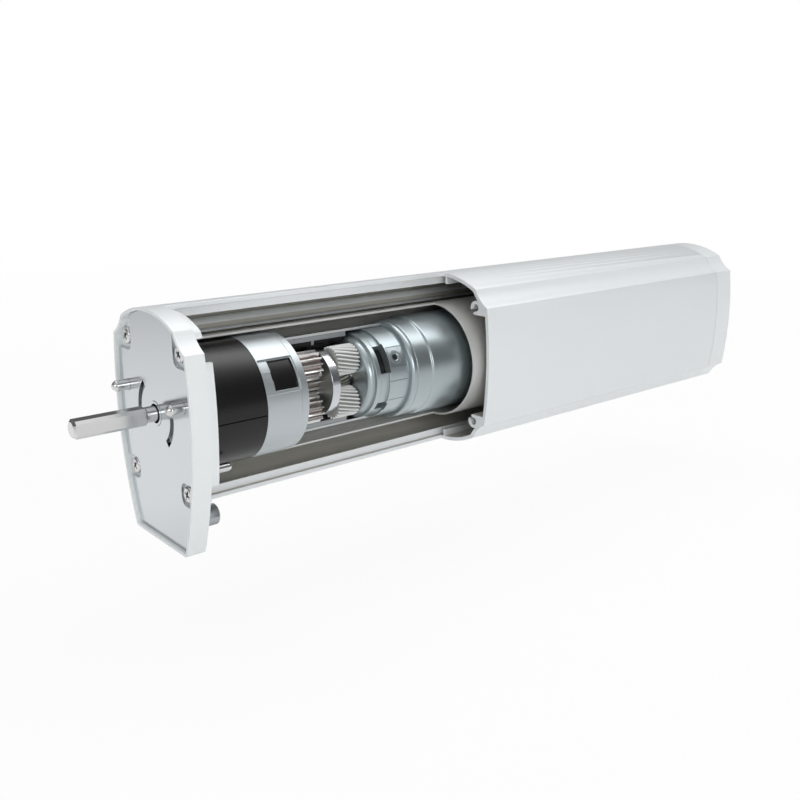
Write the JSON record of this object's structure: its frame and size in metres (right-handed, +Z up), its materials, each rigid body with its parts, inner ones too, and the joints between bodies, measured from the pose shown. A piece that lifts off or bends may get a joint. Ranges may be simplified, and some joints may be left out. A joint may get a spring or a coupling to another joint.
{
  "type": "curtain track drive motor",
  "caption": "Cutaway tubular drive motor for a curtain track: metal housing, front cap with square drive shaft, two-stage planetary gearbox and motor in an open bay.",
  "frame": {"origin": "shaft axis on the plane of the front cap's rim", "axes": "+X along the unit from the front cap to the rear cap, +Z up towards the domed top, the open side faces -Y"},
  "size_m": [0.3398, 0.056, 0.0827],
  "materials": {
    "anodised_profile": "satin anodised",
    "cast_cap": "satin",
    "polished_plate": "polished",
    "bright_steel": "bright",
    "knob_metal": "turned",
    "black_cover": "satin",
    "silver_ring": "satin",
    "grey_sleeve": "satin",
    "black_gear": "satin",
    "gear_steel": "bright",
    "white_gear": "satin",
    "brown_gear": "satin",
    "can_steel": "satin",
    "core_iron": "matte",
    "copper": "satin",
    "black_plastic": "matte",
    "rubber": "matte",
    "board_green": "satin",
    "parts_blue": "gloss",
    "transformer_yellow": "gloss"
  },
  "bodies": {
    "housing": {"housing_shell": "anodised_profile", "inner_tube": "anodised_profile", "front_cap": "cast_cap", "face_plate": "polished_plate", "front_screws": "bright_steel", "guide_pins": "bright_steel", "shaft_collar": "polished_plate", "locating_pin": "bright_steel", "gearbox_cover": "black_cover", "window_ring": "silver_ring", "gearbox_tube": "silver_ring", "ring_sleeve": "grey_sleeve", "output_ring_gear": "black_gear", "ring_spacer": "bright_steel", "input_ring_gear": "black_gear", "output_bearing": "bright_steel", "motor_front": "silver_ring", "boss_plate": "grey_sleeve", "clutch_sleeve": "black_cover", "motor_can": "can_steel", "magnets": "core_iron", "brushes": "black_plastic", "rear_bell": "black_plastic", "front_bearing": "bright_steel", "rear_bearing": "bright_steel", "damper_ring": "rubber", "encoder_sensor": "black_plastic", "board_tray": "black_plastic", "control_board": "board_green", "transformer": "transformer_yellow", "capacitor": "parts_blue", "relays": "parts_blue", "terminal_block": "board_green", "rear_cap": "cast_cap", "rear_screws": "bright_steel", "power_inlet": "black_plastic"},
    "rotor": {"motor_pinion": "brown_gear", "motor_shaft": "bright_steel", "armature": "core_iron", "windings": "copper", "commutator": "copper", "encoder_disc": "black_plastic"},
    "carrier_in": {"carrier_disc": "bright_steel", "carrier_pins": "bright_steel", "output_sun": "gear_steel"},
    "planet_in_a": {"input_planet_a": "white_gear"},
    "planet_in_b": {"input_planet_b": "white_gear"},
    "planet_in_c": {"input_planet_c": "white_gear"},
    "carrier_out": {"output_shaft": "bright_steel", "output_carrier": "gear_steel", "output_pins": "bright_steel"},
    "planet_out_a": {"output_planet_a": "gear_steel"},
    "planet_out_b": {"output_planet_b": "gear_steel"},
    "planet_out_c": {"output_planet_c": "gear_steel"},
    "locking_knob": {"locking_knob": "knob_metal"}
  },
  "joints": [
    {"name": "rotor_spin", "type": "hinge", "parent": "housing", "child": "rotor", "pos_m": [0.1, 0, 0], "axis": [1, 0, 0], "continuous": true},
    {"name": "carrier_in_spin", "type": "hinge", "parent": "housing", "child": "carrier_in", "pos_m": [0.06, 0, 0], "axis": [1, 0, 0], "continuous": true},
    {"name": "planet_in_a_spin", "type": "hinge", "parent": "carrier_in", "child": "planet_in_a", "pos_m": [0.05, -0.00479, 0.00829], "axis": [1, 0, 0], "continuous": true},
    {"name": "planet_in_b_spin", "type": "hinge", "parent": "carrier_in", "child": "planet_in_b", "pos_m": [0.05, -0.00479, -0.00829], "axis": [1, 0, 0], "continuous": true},
    {"name": "planet_in_c_spin", "type": "hinge", "parent": "carrier_in", "child": "planet_in_c", "pos_m": [0.05, 0.00957, 0], "axis": [1, 0, 0], "continuous": true},
    {"name": "output_shaft_spin", "type": "hinge", "parent": "housing", "child": "carrier_out", "pos_m": [0, 0, 0], "axis": [1, 0, 0], "continuous": true},
    {"name": "planet_out_a_spin", "type": "hinge", "parent": "carrier_out", "child": "planet_out_a", "pos_m": [0.05, -0.00479, 0.00829], "axis": [1, 0, 0], "continuous": true},
    {"name": "planet_out_b_spin", "type": "hinge", "parent": "carrier_out", "child": "planet_out_b", "pos_m": [0.05, -0.00479, -0.00829], "axis": [1, 0, 0], "continuous": true},
    {"name": "planet_out_c_spin", "type": "hinge", "parent": "carrier_out", "child": "planet_out_c", "pos_m": [0.05, 0.00957, 0], "axis": [1, 0, 0], "continuous": true},
    {"name": "locking_knob_turn", "type": "hinge", "parent": "housing", "child": "locking_knob", "pos_m": [0.007, 0, -0.0418], "axis": [1, 0, 0], "range_deg": [0, 90]}
  ],
  "couplings": [
    {"joint": "carrier_in_spin", "follows": "rotor_spin", "ratio": 0.21795},
    {"joint": "planet_in_a_spin", "follows": "rotor_spin", "ratio": -0.60431},
    {"joint": "planet_in_b_spin", "follows": "rotor_spin", "ratio": -0.60431},
    {"joint": "planet_in_c_spin", "follows": "rotor_spin", "ratio": -0.60431},
    {"joint": "output_shaft_spin", "follows": "rotor_spin", "ratio": 0.052469},
    {"joint": "planet_out_a_spin", "follows": "rotor_spin", "ratio": -0.15366},
    {"joint": "planet_out_b_spin", "follows": "rotor_spin", "ratio": -0.15366},
    {"joint": "planet_out_c_spin", "follows": "rotor_spin", "ratio": -0.15366}
  ]
}
